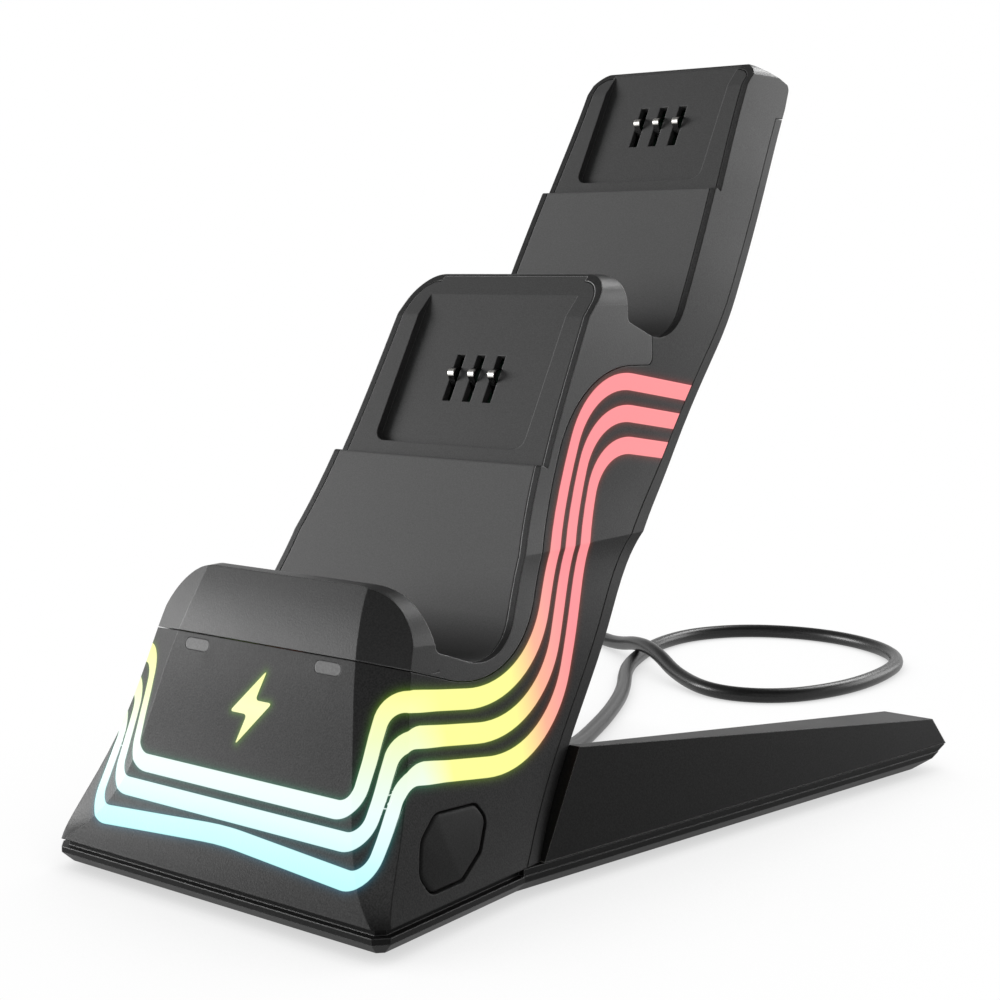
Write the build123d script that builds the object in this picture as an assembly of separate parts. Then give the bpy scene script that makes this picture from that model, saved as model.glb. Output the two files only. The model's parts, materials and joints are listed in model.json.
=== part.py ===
"""Charging dock for two game controllers, one behind and above the other.

Millimetres. X runs across the dock, -Y is its front and Z is up from the table.
A slim leaning spine carries two cradles. Three light guides wrap its flanks and its
front, and two splayed legs behind it hold it up.
"""
from build123d import *
from functools import cache
import math
import os

os.makedirs("parts", exist_ok=True)

# Joints between mouldings
wall = 2.4
rim = 1.6
joint_gap = 0.2
moving_gap = 0.35

# Spine: heights above the table
foot_height = 1.6
shell_bottom = 7.0
panel_top = 50.0
cap_seam_height = 51.1
lip_top = 65.8
lower_seat_top = 86.5
lower_bend = 118.0
lower_top = 127.5
upper_bend = 176.0
upper_top = 182.0

# Spine: widths across the dock
foot_width = 93.6
cap_width = 72.4
lower_station_width = 60.4
upper_station_width = 53.2
crown_width = 50.0

# Spine: depths along Y
front_edge = -97.0
cap_front = -80.1
cap_setback = 4.5
cap_seam_tilt = 0.34
facet_turn = 10.5
facet_setback = 5.0
lip_back = -67.3
trough_radius = 13.5
seat_angle = 60.0
seat_step = 2.5
lower_seat_y = -23.6
station_run = 79.7
station_rise = 62.7
lower_crown_back = 13.2
rear_edge = 97.0
rear_cover_depth = 3.0
rear_cover_top = 168.0

# Rounding of the three crowns, seen from the front
lip_corner = 16.5
lower_corner = 7.0
upper_corner = 6.0

# Contact recess and spring contacts, measured on the leaning face
recess_depth = 2.0
recess_floor = 1.8
recess_margin = 6.5
recess_start = 4.0
recess_corner = 3.0
contact_pitch = 5.9
contact_width = 1.7
contact_stock = 0.4
contact_barrel = 0.55
slot_width = 2.4
slot_start = 16.0
slot_length = 12.2
contact_board_width = 26.0
contact_board_length = 20.0
board_stock = 1.2
board_standoff = 3.2
boss_radius = 1.9

# Light guides
guide_rear_width = 3.9
guide_slope_width = 3.1
guide_flank_width = 4.0
guide_facet_width = 2.7
guide_front_width = 3.4
guide_depth = 1.6
guide_count = 3
guide_pitch_rear = 7.5
guide_pitch_slope = 5.7
guide_pitch_front = 6.9
guide_exit_forward = 55.3
guide_exit_drop = 29.3
guide_exit_fall = 0.157
guide_slope_back = 6.1
guide_slope_drop = 8.3
guide_slope_rise = 1.7
guide_high_radius = 24.0
guide_low_radius = 30.0
guide_front_forward = 35.1
guide_front_drop = 7.5
guide_front_rise = 0.158

# Status lenses under the cap seam
lens_spread = 18.6
lens_length = 7.0
lens_height = 2.5
lens_drop = 2.6

# Push button on the right flank
button_back = 24.7
button_rise = 9.5
button_travel = 0.8
button_stem = 2.4
stem_back = 1.0
stem_rise = 2.5
switch_side = 6.0
switch_height = 3.4
switch_board_length = 18.0
switch_board_top = 24.0

# Legs and base tray
tray_floor = 2.0
tray_chamfer = 2.4
tray_rear = -40.0
shadow_height = 1.5
shadow_inset = 1.6
leg_root_y = -52.6
leg_tip_y = 90.7
leg_stand_off = 0.3
leg_splay = 0.2115
leg_draft = 0.39
leg_top_root = 29.7
leg_top_tip = 13.1
leg_crest_root = 0.6
leg_crest_tip = 13.5
leg_flare_root = 12.0
leg_flare_tip = 4.0
leg_nose_slope = 2.4
tray_nose_slope = 10.4

# Feet, ballast, boards and screws
pad_length = 16.0
pad_width = 8.0
pad_sunk = 0.6
pad_corner = 3.0
front_pad_inset = 15.3
front_pad_back = 13.0
rear_pad_forward = 22.0
hold_y = -69.0
ballast_width = 56.0
ballast_depth = 19.0
ballast_stock = 3.0
main_board_width = 62.0
main_board_depth = 30.0
main_board_height = 14.0
post_radius = 2.2
post_inset = 3.0
light_board_width = 46.0
light_board_height = 16.0
light_board_depth = 7.0
light_board_drop = 18.0
side_board_x = 21.0
screw_head = 2.4
screw_head_height = 1.4
screw_shank = 1.2
screw_length = 15.0
screw_cover = 3.4
front_screw = (20.0, 10.0)
front_screw_boss = 2.6
rear_screw = (38.0, 41.5)
rear_screw_boss = 3.0

# Power cord
cord_diameter = 4.5
cord_exit_height = 13.0
relief_length = 24.0
relief_radius = 4.4
relief_end_radius = 3.1
relief_flange = 6.0
relief_flange_stock = 2.0
relief_boss = 5.9
coil_radius = 25.0
coil_wide = 3
coil_high = 2
coil_centre = (-128.0, 162.0)
plug_length = 24.0
plug_width = 15.6
plug_height = 8.4
plug_boot = 6.0
plug_shell_length = 18.0
plug_shell_width = 12.0
plug_shell_height = 4.5
plug_shell_stock = 0.4
tie_stock = 0.8
tie_width = 8.0

slope = math.radians(seat_angle)
rise = math.tan(slope)
along = Vector(0, math.cos(slope), math.sin(slope))
outward = Vector(0, -math.sin(slope), math.cos(slope))
reach = 130.0


def flat_face(plane, points, radii=0):
    """Closed outline with rounded corners, laid on a plane."""
    radius = [radii] * len(points) if isinstance(radii, (int, float)) else radii
    return plane * make_face(FilletPolyline(*points, radius=radius, close=True))


def side_prism(points, radii=0, x0=-reach, x1=reach):
    """Outline in Y and Z, drawn out along X."""
    return extrude(flat_face(Plane.YZ.offset(x0), points, radii), amount=x1 - x0)


def slab(plane, x0, x1, y0, y1, z0, z1):
    """Box between limits measured on a plane and along its normal."""
    return plane * Pos((x0 + x1) / 2, (y0 + y1) / 2, (z0 + z1) / 2) * Box(x1 - x0, y1 - y0, z1 - z0)


def rod(plane, x, y, z0, z1, radius):
    """Round rod that stands on a plane."""
    return plane * Pos(x, y, (z0 + z1) / 2) * Cylinder(radius, z1 - z0)


def both_sides(solid):
    """A right-hand solid and its mirror image on the left."""
    return solid + mirror(solid, Plane.YZ)


def shift_line(points, distance):
    """Open polyline moved to its left, with mitred corners."""
    moved = []
    last = len(points) - 1
    for i, point in enumerate(points):
        here = Vector(*point)
        before = (here - Vector(*points[max(i, 1) - 1])).normalized() if i else None
        after = (Vector(*points[i + 1]) - here).normalized() if i < last else before
        before = before or after
        middle = (before + after).normalized()
        left = Vector(-middle.Y, middle.X)
        moved.append(here + left * (distance / middle.dot(before)))
    return [(p.X, p.Y) for p in moved]


def cross_lines(first, first_way, second, second_way):
    """Point where two lines in a plane meet."""
    spread = first_way[0] * second_way[1] - first_way[1] * second_way[0]
    gap_x, gap_y = second[0] - first[0], second[1] - first[1]
    share = (gap_x * second_way[1] - gap_y * second_way[0]) / spread
    return (first[0] + first_way[0] * share, first[1] + first_way[1] * share)


def band(points, widths, radii):
    """Bent band about a centre line, with a width for each run and a radius for each bend."""
    centre = [Vector(*point) for point in points]
    ways = [(b - a).normalized() for a, b in zip(centre, centre[1:])]
    outline, bends = [], []
    for side in (-1, 1):
        lines = [a + Vector(-w.Y, w.X) * (side * width / 2) for a, w, width in zip(centre, ways, widths)]
        end = centre[-1] + Vector(-ways[-1].Y, ways[-1].X) * (side * widths[-1] / 2)
        edge = [(lines[0].X, lines[0].Y)]
        edge_radii = [0]
        for i, radius in enumerate(radii):
            here, after = ways[i], ways[i + 1]
            edge.append(cross_lines((lines[i].X, lines[i].Y), (here.X, here.Y),
                                    (lines[i + 1].X, lines[i + 1].Y), (after.X, after.Y)))
            inside = side * math.copysign(1, here.X * after.Y - here.Y * after.X)
            edge_radii.append(radius - inside * (widths[i] + widths[i + 1]) / 4)
        edge.append((end.X, end.Y))
        edge_radii.append(0)
        outline += edge if side < 0 else edge[::-1]
        bends += edge_radii if side < 0 else edge_radii[::-1]
    return make_face(FilletPolyline(*outline, radius=bends, close=True))


# Plan sections of the spine: height, half width, front edge, facet turn, facet set-back
# and how much the flanks open towards the rear. The skirt near the table flares out.
foot_half = foot_width / 2
cap_half = cap_width / 2
lower_half = lower_station_width / 2
upper_half = upper_station_width / 2
lip_half = (cap_half + lower_half) / 2
upper_seat_y = lower_seat_y + station_run
upper_seat_top = lower_seat_top + station_rise
body_sections = [
    (shell_bottom, foot_half, front_edge, 2.6, 2.6, 0.007),
    (shell_bottom + 6, foot_half - 1.8, front_edge + 4.0, 8.0, 1.4, 0.0),
    (shell_bottom + 15, cap_half + 6.4, front_edge + 8.4, facet_turn, 2.4, 0.0),
    (shell_bottom + 29, cap_half + 2.9, cap_front - 4.1, facet_turn, 4.2, 0.02),
    (panel_top, cap_half, cap_front, facet_turn, cap_setback, 0.025),
    (lip_top + 2.2, lip_half, cap_front + 9.0, facet_turn, facet_setback, 0.015),
    (lower_seat_top, lower_half, cap_front + 18.5, facet_turn, facet_setback, 0.0),
    (lower_bend - 8, lower_half - 1.6, cap_front + 30.0, facet_turn, facet_setback, 0.0),
    (upper_seat_top, upper_half, cap_front + 50.0, facet_turn, facet_setback, 0.0),
    (upper_top + 2, crown_width / 2, cap_front + 68.0, facet_turn, facet_setback, 0.0),
]


def half_width(height):
    """Half the spine's width at a height."""
    for low, high in zip(body_sections, body_sections[1:]):
        if height <= high[0]:
            share = (height - low[0]) / (high[0] - low[0])
            return low[1] + share * (high[1] - low[1])
    return body_sections[-1][1]


# Side profile of the spine
def station_points(seat_y, seat_z, bend, top):
    """Seat top, step, contact face and crown of one station."""
    step = (seat_y + seat_step * math.sin(slope), seat_z - seat_step * math.cos(slope))
    bend_y = step[0] + (bend - step[1]) / rise
    return [(seat_y, seat_z), step, (bend_y, bend), (bend_y + (top - bend) * 1.07, top)]


station_radii = [0.8, 0.4, 3.0, 2.0]
trough_fall = (1.0, -0.37)
lip_foot = (lip_back + 0.2, lip_top - 12.6)
crown_foot = (lower_crown_back + 0.2, lower_top - 10.9)
lower_valley = cross_lines(lip_foot, trough_fall, (lower_seat_y, lower_seat_top), (1.0, rise))
upper_valley = cross_lines(crown_foot, trough_fall, (upper_seat_y, upper_seat_top), (1.0, rise))
lower_face = station_points(lower_seat_y, lower_seat_top, lower_bend, lower_top)
upper_face = station_points(upper_seat_y, upper_seat_top, upper_bend, upper_top)
below = shell_bottom - 20
back_line = [
    (rear_edge + 0.3, upper_top - 5),
    (rear_edge - 2.2, upper_top - 11),
    (rear_edge - 37.3, lower_top - 12.8),
    (rear_edge - 70.6, lower_seat_top - 6.5),
    (rear_edge - 96.8, lip_top - 6.8),
    (rear_edge - 144.5, shell_bottom),
    (rear_edge - 164.5, below),
]
back_radii = [1.5, 6, 80, 120, 120, 0, 0]
profile_points = [(front_edge - 12, below), (front_edge - 12, lip_top), (lip_back, lip_top), lip_foot]
profile_points += [lower_valley] + lower_face + [(lower_crown_back, lower_top)]
profile_points += [crown_foot, upper_valley] + upper_face + back_line
profile_radii = [0, 0, 2.5, 1.5, trough_radius] + station_radii + [2.5]
profile_radii += [1.5, trough_radius] + station_radii + back_radii
profile = make_face(FilletPolyline(*profile_points, radius=profile_radii, close=True))


def crown_corners(top, radius, y0, y1, inset):
    """Cutters that round a crown's two corners, seen from the front."""
    edge = half_width(top - radius) - inset + 0.1
    high = top - inset
    bend = radius - inset
    low = high - bend
    corner = [(edge - bend, low), (edge - bend, high + 8), (edge + 12, high + 8), (edge + 12, low)]
    face = make_face(Polyline(*corner, close=True)) - Pos(edge - bend, low) * Circle(bend)
    return both_sides(extrude(Plane.XZ.offset(-y1) * face, amount=y1 - y0))


@cache
def flank_form(inset):
    """Front, flanks and rounded crowns of the spine, drawn in by an inset."""
    sections = []
    for height, half, front, turn, setback, opening in body_sections:
        near = (half - inset, front + inset + setback)
        far = (near[0] + opening * (reach - near[1]), reach)
        facet = (near[0] - turn, front + inset)
        right = [facet, near, far]
        left = [(-x, y) for x, y in reversed(right)]
        sections.append(Plane.XY.offset(height) * make_face(Polyline(*right, *left, close=True)))
    form = loft(sections[:6]) + loft(sections[5:])
    form -= crown_corners(lip_top, lip_corner, front_edge - 5, lip_back + 0.3, inset)
    form -= crown_corners(lower_top, lower_corner, lip_back + 8, lower_crown_back + 6, inset)
    form -= crown_corners(upper_top, upper_corner, upper_seat_y - 8, rear_edge + 5, inset)
    return form


def side_form(inset):
    """Side profile of the spine, drawn in by an inset and out along X."""
    face = offset(profile, amount=-inset, kind=Kind.INTERSECTION) if inset else profile
    return extrude(Plane.YZ * face, amount=reach, both=True)


outer_flanks = flank_form(0)
outer_side = side_form(0)
inner_side = side_form(wall)
spine = outer_flanks & outer_side
skin = spine - (flank_form(wall) & inner_side)

# Rear cover: the strip of skin behind a seam that follows the back
def rear_zone(gap):
    """Everything behind the rear seam."""
    seam = shift_line(back_line[1:], -rear_cover_depth - gap)
    top = rear_cover_top + gap
    way = (seam[1][0] - seam[0][0], seam[1][1] - seam[0][1])
    corner = cross_lines((0, top), (1, 0), seam[0], way)
    points = [(rear_edge + 40, top), corner] + seam[1:] + [(rear_edge + 40, below)]
    return side_prism(points, [0, 0, 80, 120, 120, 0, 0, 0])


rear_cover = skin & rear_zone(0)

# Lower cradle: the cap, the lower trough and the lower station, down to a wavy seam
cradle_seam = [
    (cap_front + cap_setback, cap_seam_height),
    (lower_valley[0] + 3.4, lower_valley[1] - 5.4),
    (lower_seat_y + 17.1, lower_seat_top + 20.4),
    (upper_valley[0] - 9.6, lower_top - 21.3),
    (upper_valley[0] - 9.3, lower_top + 30),
]


def cradle_zone(gap):
    """Everything above the cradle seam and in front of the upper trough."""
    seam = shift_line(cradle_seam, -gap)
    far_y = front_edge - 20
    far_z = seam[0][1] + cap_seam_tilt * (seam[0][0] - far_y)
    return side_prism(seam + [(far_y, lower_top + 30), (far_y, far_z)], [0, 26, 34, 2, 0, 0, 0])


# Seat liners and contact panels are let into the front of each station
def seat_zone(foot, valley, seat, gap):
    """Side view of a liner: from the trough's front foot to the seat's top."""
    top = Vector(0, *seat) - along * gap
    inner = top - outward * 8
    outer = top + outward * 36
    low = valley[1] - 5
    points = [(foot[0] + gap, low), (valley[0] + 9, low), (inner.Y, inner.Z)]
    points += [(outer.Y, outer.Z), (foot[0] + gap, outer.Z)]
    return side_prism(points)


def panel_zone(face, gap):
    """Side view of a contact panel: from the seat's top to the crown's front edge."""
    low = Vector(0, *face[0]) + along * gap
    high = Vector(0, *face[3]) - along * gap
    corners = [low - outward * 8, high + Vector(0, 1.2, -9), high + Vector(0, -1.0, 1.5)]
    corners += [high + Vector(0, -30, 12), low + outward * 36]
    return side_prism([(p.Y, p.Z) for p in corners])


front_band = outer_side - inner_side
window_form = flank_form(rim) & front_band
inlay_form = flank_form(rim + joint_gap) & front_band
lower_seat = (lip_foot, lower_valley, lower_face[0])
upper_seat = (crown_foot, upper_valley, upper_face[0])
windows = window_form & (seat_zone(*lower_seat, 0) + panel_zone(lower_face, 0))
windows += window_form & (seat_zone(*upper_seat, 0) + panel_zone(upper_face, 0))
lower_seat_liner = inlay_form & seat_zone(*lower_seat, joint_gap)
upper_seat_liner = inlay_form & seat_zone(*upper_seat, joint_gap)

lower_cradle = (skin & cradle_zone(0)) - rear_zone(joint_gap) - windows
main_shell = skin - cradle_zone(joint_gap) - rear_zone(joint_gap) - windows


def contact_station(face, panel):
    """Panel with its recess and slots, the board behind it and three spring contacts."""
    origin = Vector(0, *face[1])
    plane = Plane(origin, x_dir=(1, 0, 0), z_dir=outward)
    length = (Vector(0, *face[2]) - origin).length
    half = half_width(face[2][1]) - recess_margin
    back = -recess_depth - recess_floor
    panel += slab(plane, -half - 2.5, half + 2.5, 2, length - 1, back, -0.5)
    recess = [(-half, recess_start), (half, recess_start), (half, length + 20), (-half, length + 20)]
    recess_face = flat_face(plane.offset(-recess_depth), recess, [recess_corner, recess_corner, 0, 0])
    panel -= extrude(recess_face, amount=20)
    board_front = back - board_standoff
    board_low = slot_start - 3
    board_high = board_low + contact_board_length
    board_half = contact_board_width / 2
    board_back = board_front - board_stock
    board = slab(plane, -board_half, board_half, board_low, board_high, board_back, board_front)
    for side in (-1, 1):
        for height in (board_low + 2.5, board_high - 2.5):
            panel += rod(plane, side * (board_half - 2.5), height, board_front, back + 0.5, boss_radius)
    contacts = []
    for place in (-1, 0, 1):
        x = place * contact_pitch
        slot = (x - slot_width / 2, x + slot_width / 2, slot_start, slot_start + slot_length)
        panel -= slab(plane, *slot, back - 1, 1)
        contacts.append(spring_contact(origin, x, board_front))
    return panel, board, contacts


def spring_contact(origin, x, board_front):
    """Bent leaf on a round root, with a rounded nose that stands out of its slot."""
    leaf_plane = Plane(origin + Vector(x - contact_width / 2, 0, 0), x_dir=along, z_dir=(1, 0, 0))
    root = (slot_start + 1.4, board_front + contact_barrel + 0.25)
    nose = (slot_start + 6.8, recess_floor - 1.4)
    tail = (slot_start + 9.4, nose[1] - 3.4)
    knee = (root[0] + 1.4, root[1] + 0.5)
    leaf = trace(FilletPolyline(root, knee, nose, tail, radius=[1.0, 0.9]), contact_stock)
    return extrude(leaf_plane * (leaf + Pos(*root) * Circle(contact_barrel)), amount=contact_width)


lower_panel_blank = inlay_form & panel_zone(lower_face, joint_gap)
upper_panel_blank = inlay_form & panel_zone(upper_face, joint_gap)
lower_panel, lower_board, lower_contacts = contact_station(lower_face, lower_panel_blank)
upper_panel, upper_board, upper_contacts = contact_station(upper_face, upper_panel_blank)

# Light guides: side run in the side view, then a sagging run across the front
front_corner = [(row[2] + row[4] + 0.3, row[0]) for row in body_sections[:6]]
front_far = [(front_edge - 20, front_corner[-1][1]), (front_edge - 20, below)]
front_corner_zone = side_prism(front_corner + front_far)
guide_skin = skin - flank_form(guide_depth) - rear_zone(joint_gap)
cap_corner_y = front_corner[4][0]
# Front run of each guide: where it turns down, where it reaches its floor, floor height, middle height
front_runs = [
    (cap_half - 3.0, cap_half - 4.6, 24.6, 24.6),
    (cap_half + 0.6, cap_half - 0.8, 19.4, 19.4),
    (cap_half + 3.7, cap_half + 2.7, 13.0, 15.2),
]


def light_guide(number):
    """One guide, let into the outer skin of both flanks and of the front."""
    rear = (rear_edge - guide_exit_forward, lower_top - guide_exit_drop - number * guide_pitch_rear)
    slant_y = lower_seat_y + guide_slope_back + number * guide_pitch_slope
    slant = (slant_y, lower_seat_top - guide_slope_drop)
    front_y = lower_seat_y - guide_front_forward
    front = (front_y, panel_top - guide_front_drop - number * guide_pitch_front)
    high = cross_lines(rear, (-1.0, guide_exit_fall), slant, (1.0, guide_slope_rise))
    low = cross_lines(front, (-1.0, guide_front_rise), slant, (1.0, guide_slope_rise))
    start = (rear[0] + 12, rear[1] - 12 * guide_exit_fall)
    corner_z = front[1] + (front[0] - cap_corner_y) * guide_front_rise
    end = (front_edge - 10, corner_z + (cap_corner_y - front_edge + 10) * guide_front_rise)
    side_widths = [guide_rear_width, guide_slope_width, guide_flank_width]
    run = band([start, high, low, end], side_widths, [guide_high_radius - 3 * number, guide_low_radius])
    side_run = extrude(Plane.YZ * run, amount=reach, both=True) - front_corner_zone
    bend_x, floor_x, floor_z, middle_z = front_runs[number]
    half = [(foot_half + 9, corner_z), (bend_x, corner_z), (floor_x, floor_z)]
    middle = [(0, middle_z)] if middle_z > floor_z else []
    points = half + middle + [(-x, z) for x, z in reversed(half)]
    radii = [5, 5] + [90] * len(middle) + [5, 5]
    half_widths = [guide_flank_width - 0.4, guide_facet_width]
    floor_widths = [guide_front_width] * (1 + len(middle))
    front_run = band(points, half_widths + floor_widths + half_widths[::-1], radii)
    front_solid = extrude(Plane.XZ.offset(-lip_back) * front_run, amount=lip_back - front_edge + 10)
    return guide_skin & (side_run + (front_solid & front_corner_zone))


light_guides = [light_guide(number) for number in range(guide_count)]
for guide in light_guides:
    main_shell -= guide

# Status lenses and the light board behind the front panel
front_lean = math.atan2(cap_front - body_sections[2][2], panel_top - body_sections[2][0])
front_normal = (0, -math.cos(front_lean), math.sin(front_lean))
front_plane = Plane((0, cap_front, panel_top), x_dir=(1, 0, 0), z_dir=front_normal)
lens_rise = cap_seam_height + cap_seam_tilt * cap_setback - panel_top - lens_drop
lenses = []
for side in (-1, 1):
    pill = front_plane * Pos(side * lens_spread, lens_rise) * SlotOverall(lens_length, lens_height)
    lens = skin & extrude(pill, amount=wall + 3, both=True) & front_corner_zone
    main_shell -= lens
    lenses.append(lens)
half_wide = light_board_width / 2
half_high = light_board_height / 2
board_face = -wall - light_board_depth
board_limits = (-half_wide, half_wide, -light_board_drop - half_high, -light_board_drop + half_high)
front_light_board = slab(front_plane, *board_limits, board_face - board_stock, board_face)
for side in (-1, 1):
    boss_x = side * (half_wide - 2 * boss_radius)
    main_shell += rod(front_plane, boss_x, -light_board_drop, board_face, -wall / 2, boss_radius)

# Side light boards, on bosses inside each flank
flank_plane = Plane((0, lower_seat_y, lower_seat_top), x_dir=(0, 1, 0), z_dir=(1, 0, 0))
side_board_outline = [(-3.4, -30.5), (10.6, -34.5), (34.6, 7.5), (20.6, 10.5)]
side_board_bosses = [(6.6, -26.5), (24.6, 3.5)]
side_board_face = flat_face(flank_plane.offset(side_board_x), side_board_outline, 2)
right_light_board = extrude(side_board_face, amount=board_stock)
left_light_board = mirror(right_light_board, Plane.YZ)
for y, z in side_board_bosses:
    boss = rod(flank_plane, y, z, side_board_x + board_stock, foot_half, boss_radius)
    main_shell += both_sides(boss & flank_form(guide_depth))

# Push button in the right flank
button_middle = (0, front_edge + button_back, shell_bottom + button_rise)
button_plane = Plane(button_middle, x_dir=(0, 1, 0), z_dir=(1, 0, 0))
button_outline = [
    (-11.6, -3.0), (-9.5, -7.1), (0.5, -7.1), (8.0, -3.3),
    (12.1, 2.5), (9.5, 6.3), (-3.5, 7.3), (-9.2, 3.3),
]
button_face = flat_face(button_plane, button_outline, [3.0, 3.0, 3.5, 4.0, 2.6, 2.6, 4.5, 5.0])
main_shell -= extrude(button_face, amount=reach) & skin
mode_button = extrude(offset(button_face, amount=-moving_gap), amount=reach) & skin
switch_board_x = main_board_width / 2 - 1
stem_start = switch_board_x + switch_height + button_travel + moving_gap
stem = rod(button_plane, stem_back, stem_rise, stem_start, foot_half, button_stem)
mode_button += stem & flank_form(rim)

# Main board, ballast plate and the switch board that stands on the main board
half_board = main_board_width / 2
half_depth = main_board_depth / 2
floor_z = foot_height + tray_floor
board_top = main_board_height + board_stock
main_board = slab(
    Plane.XY, -half_board, half_board, hold_y - half_depth, hold_y + half_depth, main_board_height, board_top
)
half_ballast = ballast_width / 2
ballast_low = hold_y - ballast_depth / 2
ballast_limits = (-half_ballast, half_ballast, ballast_low, ballast_low + ballast_depth)
ballast_plate = slab(Plane.XY, *ballast_limits, floor_z, floor_z + ballast_stock)
stem_y = front_edge + button_back + stem_back
stem_z = shell_bottom + button_rise + stem_rise
half_switch = switch_side / 2
switch_back = switch_board_x - board_stock
switch_front = switch_board_x + switch_height - 1
switch_low = stem_y - switch_board_length / 2
switch_limits = (switch_back, switch_board_x, switch_low, switch_low + switch_board_length)
button_switch = slab(Plane.XY, *switch_limits, board_top, switch_board_top)
button_switch += slab(
    button_plane, stem_back - half_switch, stem_back + half_switch,
    stem_rise - half_switch, stem_rise + half_switch, switch_board_x, switch_front
)
button_switch += rod(button_plane, stem_back, stem_rise, switch_front, switch_front + 1, half_switch * 0.6)


# Legs: two tapered bars that splay out behind the spine
def leg_edge(y, z):
    """Outer face of the right leg."""
    return foot_half + leg_stand_off + leg_splay * (y - leg_root_y) - leg_draft * (z - shell_bottom)


def leg_corners(y):
    """Section of the right leg: outer foot, outer top, inner top and inner foot."""
    share = (y - leg_root_y) / (leg_tip_y - leg_root_y)
    top = leg_top_root + share * (leg_top_tip - leg_top_root)
    crest = leg_crest_root + share * (leg_crest_tip - leg_crest_root)
    flare = leg_flare_root + share * (leg_flare_tip - leg_flare_root)
    high = leg_edge(y, top)
    foot = (leg_edge(y, shell_bottom), shell_bottom)
    return [foot, (high, top), (high - crest, top), (high - crest - flare, shell_bottom)]


def leg_section(y):
    """Section of the right leg as a face across the dock."""
    return Plane.XZ.offset(-y) * make_face(Polyline(*leg_corners(y), close=True))


spine_side = shift_line(back_line[1:], joint_gap) + [(front_edge - 20, below), (front_edge - 20, upper_top)]
nose = [(leg_tip_y, shell_bottom), (leg_tip_y - leg_nose_slope, leg_top_tip + 1)]
nose += [(leg_tip_y + 9, leg_top_tip + 9), (leg_tip_y + 9, shell_bottom)]
right_leg = loft([leg_section(leg_root_y), leg_section(leg_tip_y)], ruled=True)
right_leg = right_leg - side_prism(spine_side) - side_prism(nose)
left_leg = mirror(right_leg, Plane.YZ)

# Base tray: one moulding under the spine and both legs
tray_top = shell_bottom - joint_gap
tray_edge = tray_top - shadow_height
tip_foot, _, _, tip_inner = leg_corners(leg_tip_y)
root_inner = leg_corners(tray_rear)[3]
right_edge = [(foot_half - 2.6, front_edge), (foot_half, front_edge + 2.6)]
right_edge += [(foot_half + leg_stand_off, leg_root_y), (tip_foot[0], leg_tip_y)]
right_edge += [(tip_inner[0], leg_tip_y), (root_inner[0], tray_rear)]
left_edge = [(-x, y) for x, y in reversed(right_edge)]
tray_face = make_face(Polyline(*right_edge, *left_edge, close=True))
base_tray = extrude(Plane.XY.offset(foot_height) * tray_face, amount=tray_edge - foot_height)
base_tray = chamfer(base_tray.faces().sort_by(Axis.Z)[0].edges(), tray_chamfer)
behind_root = Pos(0, leg_root_y + reach) * Rectangle(2 * reach, 2 * reach)
tray_rim = offset(tray_face, amount=-shadow_inset) + (offset(tray_face, amount=-joint_gap) & behind_root)
base_tray += extrude(Plane.XY.offset(tray_edge) * tray_rim, amount=shadow_height)
nose_low = leg_tip_y - tray_nose_slope
under_nose = [(leg_tip_y, tray_top), (nose_low, foot_height), (nose_low, 0)]
base_tray -= side_prism(under_nose + [(leg_tip_y + 9, 0), (leg_tip_y + 9, tray_top)])
pocket_x = half_board + 1.5
base_tray -= slab(
    Plane.XY, -pocket_x, pocket_x, hold_y - half_depth, hold_y + half_depth, floor_z, tray_top + 1
)
for side in (-1, 1):
    for end in (-1, 1):
        post = (side * (half_board - post_inset - 1), hold_y + end * (half_depth - post_inset))
        base_tray += rod(Plane.XY, *post, floor_z - 0.5, main_board_height, post_radius)

# Screws that draw the tray up against bosses of the main shell
base_screws = []
head_top = foot_height + screw_head_height
for (x, back), radius in ((front_screw, front_screw_boss), (rear_screw, rear_screw_boss)):
    y = front_edge + back
    for side in (-1, 1):
        boss = rod(Plane.XY, side * x, y, shell_bottom, foot_height + screw_length + screw_cover, radius)
        main_shell += boss & flank_form(rim) & outer_side
        main_shell -= rod(Plane.XY, side * x, y, 0, foot_height + screw_length, screw_shank)
        base_tray -= rod(Plane.XY, side * x, y, 0, head_top, screw_head + joint_gap)
        base_tray -= rod(Plane.XY, side * x, y, 0, shell_bottom, screw_shank + joint_gap)
        screw = rod(Plane.XY, side * x, y, foot_height + 0.2, head_top, screw_head)
        screw += rod(Plane.XY, side * x, y, foot_height + 0.2, foot_height + screw_length, screw_shank)
        base_screws.append(screw)

# Rubber feet, sunk into the tray
leg_turn = -math.degrees(math.atan(leg_splay))
rear_pad_y = leg_tip_y - rear_pad_forward
rear_pad_x = (leg_corners(rear_pad_y)[0][0] + leg_corners(rear_pad_y)[3][0]) / 2
front_pad = (foot_half - front_pad_inset, front_edge + front_pad_back, 90)
rubber_feet = []
for x, y, turn in (front_pad, (rear_pad_x, rear_pad_y, leg_turn)):
    for side in (-1, 1):
        outline = RectangleRounded(pad_width, pad_length, pad_corner)
        pad = extrude(Pos(side * x, y) * Rot(0, 0, side * turn) * outline, amount=foot_height + pad_sunk)
        base_tray -= pad
        rubber_feet.append(pad)

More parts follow.
